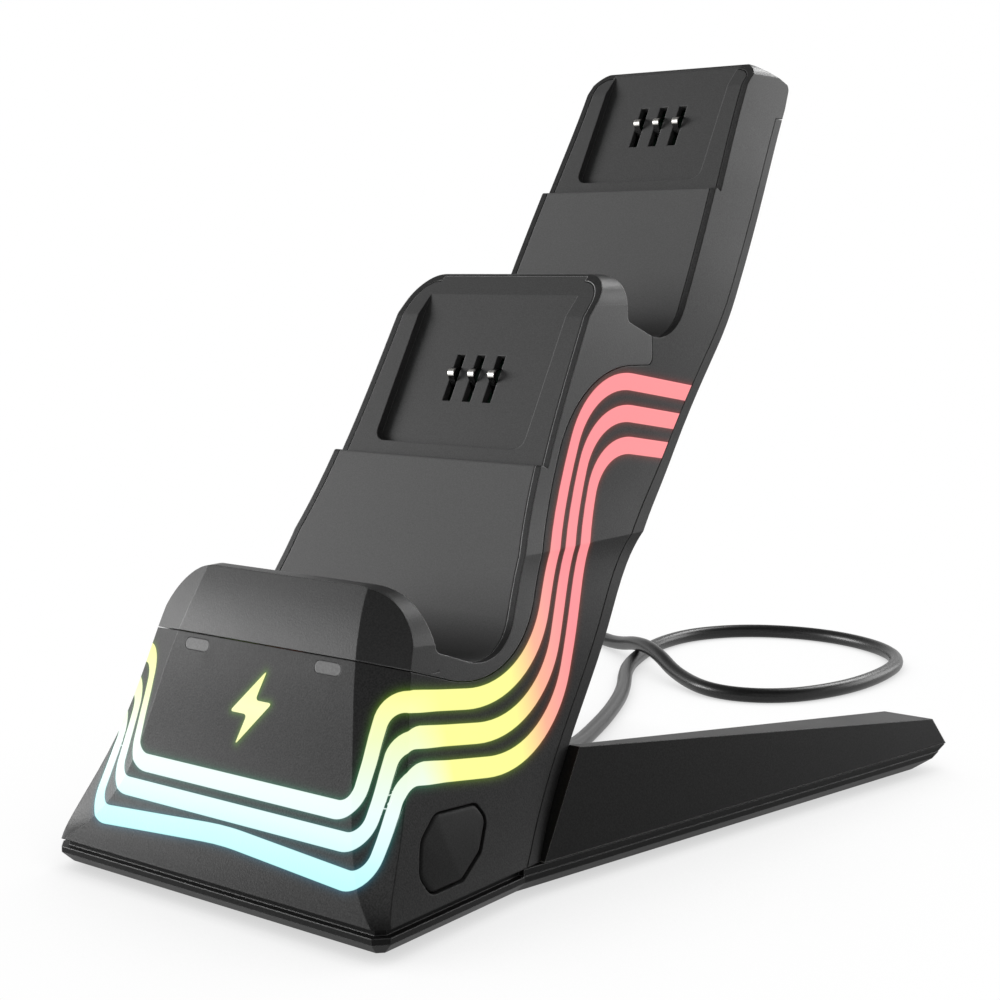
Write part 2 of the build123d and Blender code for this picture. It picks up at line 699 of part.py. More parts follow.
# Strain relief, held by a hollow boss of the rear cover
relief_back = hold_y + half_depth + 1
relief_neck = relief_back + relief_flange_stock
relief_tip = relief_neck + relief_length
relief_outline = [
    (0, relief_back), (relief_flange, relief_back), (relief_flange, relief_neck),
    (relief_radius, relief_neck), (relief_radius, relief_neck + relief_length / 2),
    (relief_end_radius, relief_tip), (0, relief_tip),
]
relief_plane = Plane.XY.offset(cord_exit_height)
relief_axis = Axis((0, 0, cord_exit_height), (0, 1, 0))
strain_relief = revolve(relief_plane * make_face(Polyline(*relief_outline, close=True)), relief_axis)
exit_plane = Plane((0, 0, cord_exit_height), x_dir=(1, 0, 0), z_dir=(0, 1, 0))
rear_cover += rod(exit_plane, 0, 0, relief_neck + joint_gap, relief_tip, relief_boss) & outer_side
rear_cover -= rod(exit_plane, 0, 0, relief_back, relief_tip, relief_radius + joint_gap / 2)

# Cord: it drops to the table, makes one loop behind the dock and goes into a coil
lie = cord_diameter / 2
coil_low = tie_stock + joint_gap
coil_lie = coil_low + lie
plug_lie = plug_height / 2
cord_route = [
    (0, relief_tip, cord_exit_height), (0, -14, cord_exit_height), (-0.4, -1, 11.4), (-1.4, 13, 8.0),
    (-3.4, 28, 4.4), (-6.8, 44, 2.5), (-11.5, 58, lie), (-19.6, 80, lie), (-31, 105, lie), (-46, 129, lie),
    (-53, 147, lie), (-58.5, 168, lie), (-57, 190, lie), (-44, 208, lie), (-21, 216, lie), (3, 210, lie),
    (19, 194, lie),
    (23, 171, lie), (21, 147, lie), (11, 126, lie), (-8, 119, lie), (-26, 128, 3.2), (-40, 138, 7.3),
    (-52, 146, 7.3), (-66, 156, 3.4), (-80, 165, lie), (-94, 174.5, 2.6), (-108, 182.5, coil_lie + 0.2),
]
tail_route = [
    (-153, 162, coil_lie), (-152.4, 148, coil_lie), (-149, 135, coil_lie), (-141, 125, 3.6),
    (-130, 119.5, plug_lie), (-119, 118.5, plug_lie), (-108, 118.5, plug_lie),
]


def bend_radii(route):
    """Largest tangent arc that the two runs at each corner allow."""
    radii = []
    for before, here, after in zip(route, route[1:], route[2:]):
        first = Vector(*here) - Vector(*before)
        second = Vector(*after) - Vector(*here)
        half_turn = math.radians(first.get_angle(second)) / 2
        radii.append(0.45 * min(first.length, second.length) / math.tan(half_turn))
    return radii


def cord_tube(route):
    """Round tube along straight runs joined by tangent arcs."""
    radii = bend_radii(route)
    path = FilletPolyline(*route, radius=radii)
    start = Plane(route[0], z_dir=Vector(*route[1]) - Vector(*route[0]))
    return sweep(start * Circle(lie), path=path)


def coil_form(grow):
    """Outer shape of the tied coil."""
    half = coil_wide * lie + grow
    ring = Circle(coil_radius + half) - Circle(coil_radius - half)
    high = coil_high * cord_diameter + 2 * grow
    solid = extrude(Pos(*coil_centre, coil_low - grow) * ring, amount=high)
    return fillet(solid.edges(), lie * 0.8)


cord_coil = coil_form(0)
power_cord = cord_tube(cord_route) - cord_coil
cord_tail = cord_tube(tail_route) - cord_coil
tie_x = coil_centre[0] + coil_radius
tie_half = coil_wide * lie + tie_stock + joint_gap
tie_top = coil_low + coil_high * cord_diameter + tie_stock + joint_gap
coil_tie = slab(
    Plane.XY, tie_x - tie_half, tie_x + tie_half,
    coil_centre[1] - tie_width / 2, coil_centre[1] + tie_width / 2, 0, tie_top
)
coil_tie -= coil_form(joint_gap)

# Plug at the end of the cord
plug_plane = Plane(tail_route[-1], x_dir=(0, 1, 0), z_dir=(1, 0, 0))
boot = loft([plug_plane * Circle(lie + 0.4), plug_plane.offset(plug_boot) * Circle(plug_lie - 0.6)])
body_face = plug_plane.offset(plug_boot) * RectangleRounded(plug_width, plug_height, 2)
body = extrude(body_face, amount=plug_length)
body = fillet(body.faces().sort_by(Axis.X)[0].edges() + body.faces().sort_by(Axis.X)[-1].edges(), 1)
shell_outer = RectangleRounded(plug_shell_width, plug_shell_height, 0.6)
shell_inner = offset(shell_outer, amount=-plug_shell_stock)
shell_sunk = plug_shell_length / 3
shell_plane = plug_plane.offset(plug_boot + plug_length - shell_sunk)
usb_plug_shell = extrude(shell_plane * (shell_outer - shell_inner), amount=plug_shell_length)
tongue = Pos(0, plug_shell_height / 5) * Rectangle(plug_shell_width - 2, plug_shell_height / 3)
usb_plug = boot + body - extrude(shell_plane * (shell_outer - shell_inner), amount=shell_sunk)
tongue_length = plug_shell_length - shell_sunk / 2 - 1
usb_plug += extrude(shell_plane.offset(shell_sunk / 2) * tongue, amount=tongue_length)

pieces = {
    "main_shell": main_shell,
    "lower_cradle": lower_cradle,
    "rear_cover": rear_cover,
    "base_tray": base_tray,
    "right_leg": right_leg,
    "left_leg": left_leg,
    "lower_seat_liner": lower_seat_liner,
    "upper_seat_liner": upper_seat_liner,
    "lower_contact_panel": lower_panel,
    "upper_contact_panel": upper_panel,
    "lower_contact_board": lower_board,
    "upper_contact_board": upper_board,
    "front_light_board": front_light_board,
    "left_light_board": left_light_board,
    "right_light_board": right_light_board,
    "main_board": main_board,
    "ballast_plate": ballast_plate,
    "mode_button": mode_button,
    "button_switch": button_switch,
    "left_status_lens": lenses[0],
    "right_status_lens": lenses[1],
    "rubber_feet": Compound(rubber_feet),
    "base_screws": Compound(base_screws),
    "strain_relief": strain_relief,
    "power_cord": power_cord,
    "cord_coil": cord_coil,
    "cord_tail": cord_tail,
    "coil_tie": coil_tie,
    "usb_plug": usb_plug,
    "usb_plug_shell": usb_plug_shell,
}
for number, guide in enumerate(light_guides, 1):
    pieces[f"light_guide_{number}"] = guide
for station, group in (("lower", lower_contacts), ("upper", upper_contacts)):
    for number, contact in enumerate(group, 1):
        pieces[f"{station}_contact_{number}"] = contact
for name, solid in pieces.items():
    export_step(solid, f"parts/{name}.step")
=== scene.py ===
import json
import math

import bmesh
import bpy
from mathutils import Matrix, Vector
from mathutils.bvhtree import BVHTree
from mathutils.geometry import barycentric_transform, intersect_point_line


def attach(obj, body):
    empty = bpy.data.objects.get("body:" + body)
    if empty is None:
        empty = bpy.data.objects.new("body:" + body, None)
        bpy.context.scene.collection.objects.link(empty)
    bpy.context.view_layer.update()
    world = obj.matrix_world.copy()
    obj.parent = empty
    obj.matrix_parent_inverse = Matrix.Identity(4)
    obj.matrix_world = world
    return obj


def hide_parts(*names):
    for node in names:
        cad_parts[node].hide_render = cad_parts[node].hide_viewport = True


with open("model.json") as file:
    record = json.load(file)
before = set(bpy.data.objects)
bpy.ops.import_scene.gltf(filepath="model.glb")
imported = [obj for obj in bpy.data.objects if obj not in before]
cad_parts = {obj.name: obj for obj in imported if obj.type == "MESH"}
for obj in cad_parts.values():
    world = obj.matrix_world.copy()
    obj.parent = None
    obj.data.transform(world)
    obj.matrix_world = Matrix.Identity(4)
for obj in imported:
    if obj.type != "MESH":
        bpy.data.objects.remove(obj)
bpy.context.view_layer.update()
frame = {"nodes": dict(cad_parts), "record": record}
nodes = frame["nodes"]
scene = bpy.context.scene
scene.view_settings.view_transform = "Standard"

mm = 0.001
guide_names = ["light_guide_1", "light_guide_2", "light_guide_3"]
fine_grain = 0.36 * mm
face_out = Vector((0.0, -0.866, 0.5))


# Node trees and finishes

def grey(level):
    """A neutral linear grey."""
    return (level, level, level)


def add(tree, kind, inputs=None, **settings):
    """A new shader node with its settings; an input is a value or another node's output."""
    made = tree.nodes.new("ShaderNode" + kind)
    for name, value in settings.items():
        setattr(made, name, value)
    for name, value in (inputs or {}).items():
        if isinstance(value, bpy.types.NodeSocket):
            tree.links.new(value, made.inputs[name])
        else:
            made.inputs[name].default_value = value
    return made


def ramp(tree, factor, stops):
    """A colour ramp over (place, linear colour) stops."""
    made = add(tree, "ValToRGB", {"Fac": factor})
    band = made.color_ramp
    while len(band.elements) < len(stops):
        band.elements.new(0.5)
    for element, (place, colour) in zip(band.elements, stops):
        element.position = place
        element.color = (*colour, 1.0)
    return made.outputs["Color"]


def linear(*srgb):
    """A colour read off a screen, as the linear values that a shader takes."""
    return tuple(c / 12.92 if c <= 0.04045 else ((c + 0.055) / 1.055) ** 2.4 for c in srgb)


def new_finish(name):
    """A material with its tree, its shader and its object coordinates."""
    finish = bpy.data.materials.new(name)
    finish.use_nodes = True
    tree = finish.node_tree
    shader = tree.nodes["Principled BSDF"]
    place = add(tree, "TexCoord").outputs["Object"]
    return finish, tree, shader, place


def span(tree, value, low, high, start=0.0, end=1.0):
    """A value brought from one range to another and held at its ends."""
    inputs = {"Value": value, "From Min": low, "From Max": high, "To Min": start, "To Max": end}
    return add(tree, "MapRange", inputs).outputs["Result"]


def moulded(name, dark, light, grain, depth, roughness, shine, edge, painted_edge_highlight):
    """Spark-grained moulding: speckled colour, fine bump, rounded edges whose colour is lightened as a
    painted highlight.
    """
    finish, tree, shader, place = new_finish(name)
    fine = add(tree, "TexNoise", {"Vector": place, "Scale": 1 / grain, "Detail": 2.0, "Roughness": 0.6})
    broad = add(tree, "TexNoise", {"Vector": place, "Scale": 26.0, "Detail": 3.0})
    speckle = span(tree, fine.outputs["Fac"], 0.34, 0.66)
    rounded = add(tree, "Bevel", {"Radius": edge}, samples=6)
    flat = add(tree, "NewGeometry").outputs["True Normal"]
    # Edge mask: on rounded edges the colour turns to the painted edge highlight colour.
    turned = add(tree, "VectorMath", {0: rounded.outputs["Normal"], 1: flat}, operation="DOT_PRODUCT")
    edges = span(tree, turned.outputs["Value"], 0.97, 0.8)
    body = ramp(tree, speckle, [(0.0, dark), (1.0, light)])
    colour = add(tree, "MixRGB", {"Fac": edges, "Color1": body, "Color2": (*painted_edge_highlight, 1.0)})
    tree.links.new(colour.outputs["Color"], shader.inputs["Base Color"])
    gloss = span(tree, broad.outputs["Fac"], 0.3, 0.7, roughness - 0.04, roughness + 0.04)
    tree.links.new(gloss, shader.inputs["Roughness"])
    bump = add(tree, "Bump", {
        "Strength": depth, "Distance": 0.05 * mm, "Height": fine.outputs["Fac"],
        "Normal": rounded.outputs["Normal"],
    })
    tree.links.new(bump.outputs["Normal"], shader.inputs["Normal"])
    shader.inputs["Specular IOR Level"].default_value = shine
    return finish


# The guides' colours along the flank, front to rear, and up the front, in millimetres
flank_stops = [
    (-70.0, (1.0, 1.0, 0.61)), (-46.0, (1.0, 1.0, 0.6)), (-41.0, (1.0, 0.88, 0.6)),
    (-36.0, (1.0, 0.72, 0.6)), (-30.0, (0.99, 0.65, 0.62)), (-22.0, (1.0, 0.58, 0.6)),
    (30.0, (1.0, 0.57, 0.58)),
]
front_stops = [
    (12.0, (0.76, 1.0, 1.0)), (16.0, (0.81, 1.0, 1.0)), (20.0, (0.89, 1.0, 1.0)),
    (25.0, (0.935, 1.0, 0.995)), (30.0, (0.94, 1.0, 0.93)), (38.0, (0.96, 1.0, 0.78)),
    (45.0, (1.0, 1.0, 0.68)), (48.0, (1.0, 1.0, 0.61)),
]
corner_y = (-77.0, -68.0)


def scaled_stops(stops):
    """Stops given in millimetres, brought to the ramp's own run from 0 to 1."""
    low, high = stops[0][0], stops[-1][0]
    return [((place - low) / (high - low), linear(*colour)) for place, colour in stops]


def guide_glow(tree, place):
    """The guides' colour, which runs from red over yellow to pale blue."""
    axes = add(tree, "SeparateXYZ", {"Vector": place}).outputs
    along = span(tree, axes["Y"], flank_stops[0][0] * mm, flank_stops[-1][0] * mm)
    height = span(tree, axes["Z"], front_stops[0][0] * mm, front_stops[-1][0] * mm)
    flank = ramp(tree, along, scaled_stops(flank_stops))
    front = ramp(tree, height, scaled_stops(front_stops))
    at_front = span(tree, axes["Y"], corner_y[1] * mm, corner_y[0] * mm)
    return add(tree, "MixRGB", {"Fac": at_front, "Color1": flank, "Color2": front}).outputs["Color"]


def glowing_skin(name):
    """The shell's moulding; it glows where a guide lets light out, and light bleeds in beside that."""
    # The last colour is the painted edge highlight colour, close to the moulding's own here.
    finish = moulded(name, grey(0.03), grey(0.052), fine_grain, 0.5, 0.36, 0.07, 0.35 * mm, grey(0.05))
    tree = finish.node_tree
    shader = tree.nodes["Principled BSDF"]
    place = add(tree, "TexCoord").outputs["Object"]
    moulding = shader.inputs["Base Color"].links[0].from_socket
    inside = add(tree, "Attribute", attribute_name="lit").outputs["Fac"]
    open_light = span(tree, inside, -0.12, -0.02)
    milky = add(tree, "MixRGB", {"Fac": open_light, "Color1": moulding, "Color2": (*grey(0.015), 1.0)})
    tree.links.new(milky.outputs["Color"], shader.inputs["Base Color"])
    bleed = add(tree, "Attribute", attribute_name="bleed").outputs["Color"]
    glow = add(tree, "MixRGB", {"Fac": open_light, "Color1": bleed, "Color2": guide_glow(tree, place)})
    tree.links.new(glow.outputs["Color"], shader.inputs["Emission Color"])
    shader.inputs["Emission Strength"].default_value = 1.0
    return finish


def lit_sign(name):
    """Milky acrylic of the charge sign, lit an even yellow green that pales towards its middle."""
    finish, tree, shader, place = new_finish(name)
    axes = add(tree, "SeparateXYZ", {"Vector": place}).outputs
    height = span(tree, axes["Z"], 31.0 * mm, 49.0 * mm)
    stops = [(0.0, linear(0.99, 1.0, 0.7)), (0.5, linear(1.0, 1.0, 0.77)), (1.0, linear(0.97, 1.0, 0.62))]
    tree.links.new(ramp(tree, height, stops), shader.inputs["Emission Color"])
    shader.inputs["Emission Strength"].default_value = 1.0
    shader.inputs["Base Color"].default_value = (*grey(0.015), 1.0)
    shader.inputs["Roughness"].default_value = 0.4
    shader.inputs["Specular IOR Level"].default_value = 0.05
    return finish


def plated(name, dark, light, roughness):
    """Plated metal with fine drawn lines."""
    finish, tree, shader, place = new_finish(name)
    drawn = add(tree, "Mapping", {"Vector": place, "Scale": (9000.0, 900.0, 900.0)})
    lines = add(tree, "TexNoise", {"Vector": drawn.outputs["Vector"], "Scale": 1.0, "Detail": 2.0})
    colour = ramp(tree, lines.outputs["Fac"], [(0.3, dark), (0.7, light)])
    tree.links.new(colour, shader.inputs["Base Color"])
    gloss = span(tree, lines.outputs["Fac"], 0.3, 0.7, roughness - 0.06, roughness + 0.08)
    tree.links.new(gloss, shader.inputs["Roughness"])
    shader.inputs["Metallic"].default_value = 1.0
    return finish


def sprung_leaf(name, tip_level):
    """Blackened spring leaf with a near white painted highlight at its tip."""
    finish, tree, shader, place = new_finish(name)
    out = add(tree, "VectorMath", {0: place, 1: face_out}, operation="DOT_PRODUCT").outputs["Value"]
    # The tip is coloured near white as a painted highlight.
    painted_tip_highlight = span(tree, out, tip_level - 0.7 * mm, tip_level - 0.3 * mm)
    spots = add(tree, "TexNoise", {"Vector": place, "Scale": 2500.0, "Detail": 2.0})
    leaf = ramp(tree, spots.outputs["Fac"], [(0.3, grey(0.02)), (0.7, grey(0.045))])
    colour = add(tree, "MixRGB", {"Fac": painted_tip_highlight, "Color1": leaf, "Color2": (0.92, 0.9, 0.86, 1.0)})
    tree.links.new(colour.outputs["Color"], shader.inputs["Base Color"])
    tree.links.new(span(tree, spots.outputs["Fac"], 0.3, 0.7, 0.22, 0.34), shader.inputs["Roughness"])
    shader.inputs["Metallic"].default_value = 1.0
    return finish


def laminate(name):
    """Green lacquered board with a faint weave."""
    finish, tree, shader, place = new_finish(name)
    weave = add(tree, "TexNoise", {"Vector": place, "Scale": 900.0, "Detail": 2.0})
    colour = ramp(tree, weave.outputs["Fac"], [(0.3, (0.012, 0.075, 0.04)), (0.7, (0.02, 0.11, 0.06))])
    tree.links.new(colour, shader.inputs["Base Color"])
    shader.inputs["Roughness"].default_value = 0.35
    return finish


def soft_skin(name, dark, light, roughness, grain, depth):
    """Rubber or soft jacket: even, dull, with a fine orange-peel surface."""
    finish, tree, shader, place = new_finish(name)
    peel = add(tree, "TexNoise", {"Vector": place, "Scale": 1 / grain, "Detail": 2.0})
    colour = ramp(tree, peel.outputs["Fac"], [(0.35, dark), (0.65, light)])
    tree.links.new(colour, shader.inputs["Base Color"])
    bump = add(tree, "Bump", {"Strength": depth, "Distance": 0.05 * mm, "Height": peel.outputs["Fac"]})
    tree.links.new(bump.outputs["Normal"], shader.inputs["Normal"])
    shader.inputs["Roughness"].default_value = roughness
    shader.inputs["Specular IOR Level"].default_value = 0.35
    return finish


# The last colour of each moulding is its painted edge highlight colour.
finishes = {
    "shell_plastic": glowing_skin("shell_moulding"),
    "cradle_plastic": moulded(
        "cradle_moulding", grey(0.024), grey(0.04), fine_grain, 0.5, 0.4, 0.2, 0.4 * mm, grey(0.3),
    ),
    "liner_plastic": moulded(
        "liner_moulding", grey(0.102), grey(0.124), 0.3 * mm, 0.3, 0.46, 0.1, 0.3 * mm, grey(0.2),
    ),
    "cover_plastic": moulded(
        "cover_moulding", grey(0.022), grey(0.036), fine_grain, 0.4, 0.46, 0.1, 0.3 * mm, grey(0.09),
    ),
    "tray_plastic": moulded(
        "tray_moulding", grey(0.008), grey(0.016), fine_grain, 0.4, 0.4, 0.1, 0.4 * mm, grey(0.3),
    ),
    "leg_plastic": moulded(
        "leg_moulding", grey(0.016), grey(0.026), fine_grain, 0.4, 0.4, 0.07, 0.45 * mm, grey(0.4),
    ),
    "button_plastic": moulded(
        "button_moulding", grey(0.018), grey(0.028), 0.3 * mm, 0.3, 0.4, 0.07, 0.3 * mm, grey(0.16),
    ),
    "guide_plastic": glowing_skin("guide_acrylic"),
    "lens_plastic": moulded(
        "lens_acrylic", grey(0.14), grey(0.18), 0.5 * mm, 0.1, 0.4, 0.1, 0.3 * mm, grey(0.2),
    ),
    "contact_metal": plated("contact_plating", (0.55, 0.53, 0.5), (0.85, 0.83, 0.78), 0.28),
    "board_laminate": laminate("board_lacquer"),
    "steel_plate": plated("ballast_steel", grey(0.3), grey(0.45), 0.45),
    "screw_steel": plated("screw_black_steel", grey(0.05), grey(0.1), 0.4),
    "foot_rubber": soft_skin("foot_rubber_skin", grey(0.01), grey(0.018), 0.8, 0.5 * mm, 0.4),
    "cord_jacket": soft_skin("cord_jacket_skin", grey(0.012), grey(0.02), 0.34, 0.6 * mm, 0.25),
    "tie_plastic": moulded(
        "tie_moulding", grey(0.01), grey(0.018), 0.4 * mm, 0.2, 0.4, 0.3, 0.2 * mm, grey(0.05),
    ),
    "plug_metal": plated("plug_plating", grey(0.62), grey(0.82), 0.2),
}


def wear(piece, slot):
    """Gives a new piece the finish of a record slot."""
    piece.data.materials.clear()
    piece.data.materials.append(finishes[slot])


# The last colour is the painted edge highlight colour.
panel_finish = moulded(
    "panel_moulding", grey(0.066), grey(0.086), 0.3 * mm, 0.3, 0.42, 0.15, 0.3 * mm, grey(0.16),
)
for subpart in frame["record"]["subparts"]:
    mesh = nodes[subpart["node"]].data
    mesh.materials.clear()
    mesh.materials.append(finishes[subpart["material_slot"]])
for station in ("lower", "upper"):
    nodes[station + "_contact_panel"].data.materials[0] = panel_finish
    tip_level = max(corner.co.dot(face_out) for corner in nodes[station + "_contact_1"].data.vertices)
    leaf_finish = sprung_leaf(station + "_contact_leaf", tip_level)
    for number in (1, 2, 3):
        nodes[f"{station}_contact_{number}"].data.materials[0] = leaf_finish


# The camera, at the photograph's place

camera = bpy.data.objects.new("view_camera", bpy.data.cameras.new("view_camera"))
camera_right = Vector((0.7991, 0.6012, 0.0))
camera_up = Vector((-0.0782, 0.1039, 0.9915))
camera_back = Vector((0.5961, -0.7923, 0.1300))
turn = Matrix((camera_right, camera_up, camera_back)).transposed().to_4x4()
camera.matrix_world = Matrix.Translation(Vector((250.3, -331.2, 128.3)) * mm) @ turn
camera.data.sensor_width = 36.0
camera.data.lens = 62.96
camera.data.clip_start = 0.01
scene.collection.objects.link(camera)
scene.camera = camera


# The cord: out of the back, one loop on the table, a tied coil, and its plug

cord_diameter = 4.5
cord_route = [
    (0, -27, 13), (0, -14, 13), (-0.4, -1, 11.4), (-1.4, 13, 8.0), (-3.4, 28, 4.4), (-6.8, 44, 2.5),
    (-11.5, 58, 2.25), (-19.6, 80, 2.25), (-31, 105, 2.25), (-46, 129, 2.25), (-53, 147, 2.25),
    (-58.5, 168, 2.25), (-57, 190, 2.25), (-44, 208, 2.25), (-21, 216, 2.25), (3, 210, 2.25),
    (19, 194, 2.25), (23, 171, 2.25), (21, 147, 2.25), (11, 126, 2.25), (-8, 119, 2.25),
    (-26, 128, 3.2), (-40, 138, 7.3), (-52, 146, 7.3), (-66, 156, 3.4), (-80, 165, 2.25),
    (-94, 174.5, 2.6), (-108, 182.5, 3.45),
]
coil_middle = Vector((-128.0, 162.0))
coil_rows = [(29.5, 3.25), (25.0, 3.25), (20.5, 3.25), (20.5, 7.75), (25.0, 7.75), (29.5, 7.75)]
coil_entry = 75.0
coil_step = 30.0
coil_leave = 180.0 + 5 * 360.0
hull_share = 1.035
tail_route = [
    (-157, 150, 7.6), (-154.5, 139, 5.6), (-149.5, 130, 4.0), (-141, 123.5, 3.8),
    (-130, 119.5, 4.2), (-119, 118.5, 4.2), (-108, 118.5, 4.2),
]


def coil_points():
    """The turns of the coil, row after row; each row runs over into the next in its last third."""
    points = []
    angle = coil_entry
    while angle < coil_leave + 0.5 * coil_step:
        turns = (angle - coil_entry + coil_step) / 360.0
        row = min(int(turns), len(coil_rows) - 1)
        here, after = Vector(coil_rows[row]), Vector(coil_rows[min(row + 1, len(coil_rows) - 1)])
        radius, height = here.lerp(after, max(0.0, 3.0 * (turns - row) - 2.0))
        way = math.radians(angle)
        reach = radius * hull_share
        points.append((
            coil_middle.x + reach * math.cos(way), coil_middle.y + reach * math.sin(way), height,
        ))
        angle += coil_step
    return points


def cord_curve(name, points, diameter):
    """A round cord on one smooth spline whose control points are the route's own."""
    line = bpy.data.curves.new(name, "CURVE")
    line.dimensions = "3D"
    line.bevel_depth = diameter / 2 * mm
    line.bevel_resolution = 6
    line.resolution_u = 10
    line.use_fill_caps = True
    spline = line.splines.new("NURBS")
    spline.points.add(len(points) - 1)
    for point, place in zip(spline.points, points):
        point.co = (*(Vector(place) * mm), 1.0)
    spline.order_u = 3
    spline.use_endpoint_u = True
    piece = bpy.data.objects.new(name, line)
    scene.collection.objects.link(piece)
    return piece


cord = cord_curve("charging_cord", cord_route + coil_points() + tail_route, cord_diameter)
wear(cord, "cord_jacket")
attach(cord, "dock")
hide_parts("power_cord", "cord_coil", "cord_tail")


# Helpers for the shell and the guides, which are refined so that they can carry the light

def merged(node):
    """A node's triangles in a bmesh, numbered as in the node, with their shared corners joined."""
    form = bmesh.new()
    form.from_mesh(nodes[node].data)
    form.faces.index_update()
    number = form.faces.layers.int.new("cad_triangle")
    for face in form.faces:
        face[number] = face.index
    bmesh.ops.remove_doubles(form, verts=form.verts, dist=0.001 * mm)
    return form


def tree_of(names):
    """One search tree over several nodes."""
    form = bmesh.new()
    for name in names:
        form.from_mesh(nodes[name].data)
    tree = BVHTree.FromBMesh(form)
    form.free()
    return tree


def add_piece(name, form, crease=None):
    """Puts a finished bmesh into the scene; edges sharper than the crease stay sharp."""
    mesh = bpy.data.meshes.new(name)
    form.to_mesh(mesh)
    form.free()
    if crease is not None:
        mesh.shade_smooth()
        mesh.set_sharp_from_angle(angle=math.radians(crease))
    piece = bpy.data.objects.new(name, mesh)
    scene.collection.objects.link(piece)
    return piece


def keep_normals(piece, node):
    """Gives a refined piece the normals of the CAD triangles that its own are cut from."""
    cad = nodes[node].data
    mesh = piece.data
    source = mesh.attributes["cad_triangle"].data
    normals = []
    for face in mesh.polygons:
        triangle = cad.polygons[source[face.index].value]
        places = [cad.vertices[corner].co for corner in triangle.vertices]
        ends = [cad.corner_normals[loop].vector for loop in triangle.loop_indices]
        for corner in face.vertices:
            normal = barycentric_transform(mesh.vertices[corner].co, *places, *ends)
            normals.append(normal.normalized() if normal.length > 0.5 else face.normal)
    mesh.shade_smooth()
    mesh.normals_split_custom_set(normals)


bleed_reach = 2.6 * mm
bleed_edge = 0.8 * mm
bleed_width = 0.75 * mm
bleed_flank = [
    (-70.0, (0.07, 0.13, 0.0)), (-46.0, (0.08, 0.13, 0.0)), (-36.0, (0.14, 0.02, 0.0)),
    (40.0, (0.14, 0.0, 0.0)),
]
bleed_front = [
    (12.0, (0.0, 0.07, 0.12)), (20.0, (0.0, 0.09, 0.09)), (30.0, (0.02, 0.12, 0.05)),
    (45.0, (0.06, 0.13, 0.0)),
]
bleed_sign = Vector((0.06, 0.15, 0.01))


def between(stops, place):
    """The colour, or the plan point, between the two stops that a place lies in."""
    if place <= stops[0][0]:
        return Vector(stops[0][1])
    for (low, first), (high, second) in zip(stops, stops[1:]):
        if place <= high:
            return Vector(first).lerp(Vector(second), (place - low) / (high - low))
    return Vector(stops[-1][1])


# Each guide's way round the front corner, on the skin unrolled at that corner

shell_corner = [
    (7.0, (46.8, -94.4)), (13.0, (45.0, -91.6)), (22.0, (42.6, -86.2)), (36.0, (39.1, -80.0)),
    (50.0, (36.2, -75.6)), (68.0, (36.2, -75.6)),
]
flank_run_y = -75.6 + 0.3
facet_stretch = 1.1
flank_rise = 0.158
flank_half, facet_half = 2.0, 1.45
bend_radius = 6.0
bend_steps = 10
flank_length, facet_length, facet_sight = 30.0, 16.0, 14.0
way_reach, way_fade = 8.0, 5.0
corner_zone_y, corner_zone_low, corner_zone_high, corner_zone_depth = -45.0, 10.0, 52.0, -9.0
# Each guide: its height on the flank, where it turns down, and where and how high its floor is
corner_ways = [(45.12, 33.2, 31.6, 24.6), (38.22, 36.8, 35.4, 19.4), (31.32, 39.9, 38.9, 13.0)]


def unrolled(point):
    """Distance round from the shell's front corner, to the rear above zero, and height, in millimetres."""
    x, y, z = point / mm
    corner_x, corner_back = between(shell_corner, z)
    return Vector((max(y - corner_back, 0.0) - facet_stretch * max(corner_x - abs(x), 0.0), z))


def corner_way(flank_z, bend_x, floor_x, floor_z):
    """Points along one guide from its flank run over a round bend to its run down the facet."""
    def on_facet(z):
        x = bend_x + (flank_z - z) / (flank_z - floor_z) * (floor_x - bend_x)
        return Vector((facet_stretch * (x - between(shell_corner, z)[0]), z))

    def on_flank(u):
        y = u + between(shell_corner, flank_z)[1]
        return Vector((u, flank_z + (flank_run_y - y) * flank_rise))

    bend = on_flank(on_facet(flank_z).x)
    back = (on_flank(flank_length) - bend).normalized()
    down = (on_facet(bend.y - facet_sight) - bend).normalized()
    half = back.angle(down) / 2
    tangent = bend_radius / math.tan(half)
    middle = bend + (back + down).normalized() * (bend_radius / math.sin(half))
    first, last = bend + back * tangent - middle, bend + down * tangent - middle
    arc = [
        middle + first.slerp(last, step / bend_steps).normalized() * bend_radius
        for step in range(bend_steps + 1)
    ]
    return [bend + back * flank_length] + arc + [bend + down * facet_length]


guide_ways = [corner_way(*values) for values in corner_ways]


def way_field(place, way):
    """How far inside a guide's corner way an unrolled place is, and how much that way counts there."""
    best = None
    for step, (start, end) in enumerate(zip(way, way[1:])):
        share = max(0.0, min(1.0, intersect_point_line(place, start, end)[1]))
        foot = start.lerp(end, share)
        gap = (place - foot.to_2d()).length
        if best is None or gap < best[0]:
            best = (gap, step, share, foot)
    gap, step, share, foot = best
    turn_share = max(0.0, min(1.0, (step - 1 + share) / (len(way) - 3)))
    half = flank_half + (facet_half - flank_half) * turn_share
    off_bend = 0.0
    if step == 0:
        off_bend = (foot - way[1]).length
    elif step == len(way) - 2:
        off_bend = (foot - way[-2]).length
    return half - gap, max(0.0, min(1.0, (way_reach - off_bend) / way_fade))


def lit_depth(point, owner):
    """How deep inside a lit stripe a point of the skin is, in millimetres; below zero outside."""
    in_height = corner_zone_low * mm < point.z < corner_zone_high * mm
    near_corner = point.y < corner_zone_y * mm and in_height
    depths = []
    for number, tree in enumerate(guide_trees):
        if number == owner:
            depth = shell_tree.find_nearest(point)[3] / mm
        else:
            depth = -tree.find_nearest(point)[3] / mm
        if near_corner and depth > corner_zone_depth:
            inside, weight = way_field(unrolled(point), guide_ways[number])
            depth += (inside - depth) * weight
        depths.append(depth)
    return max(depths)


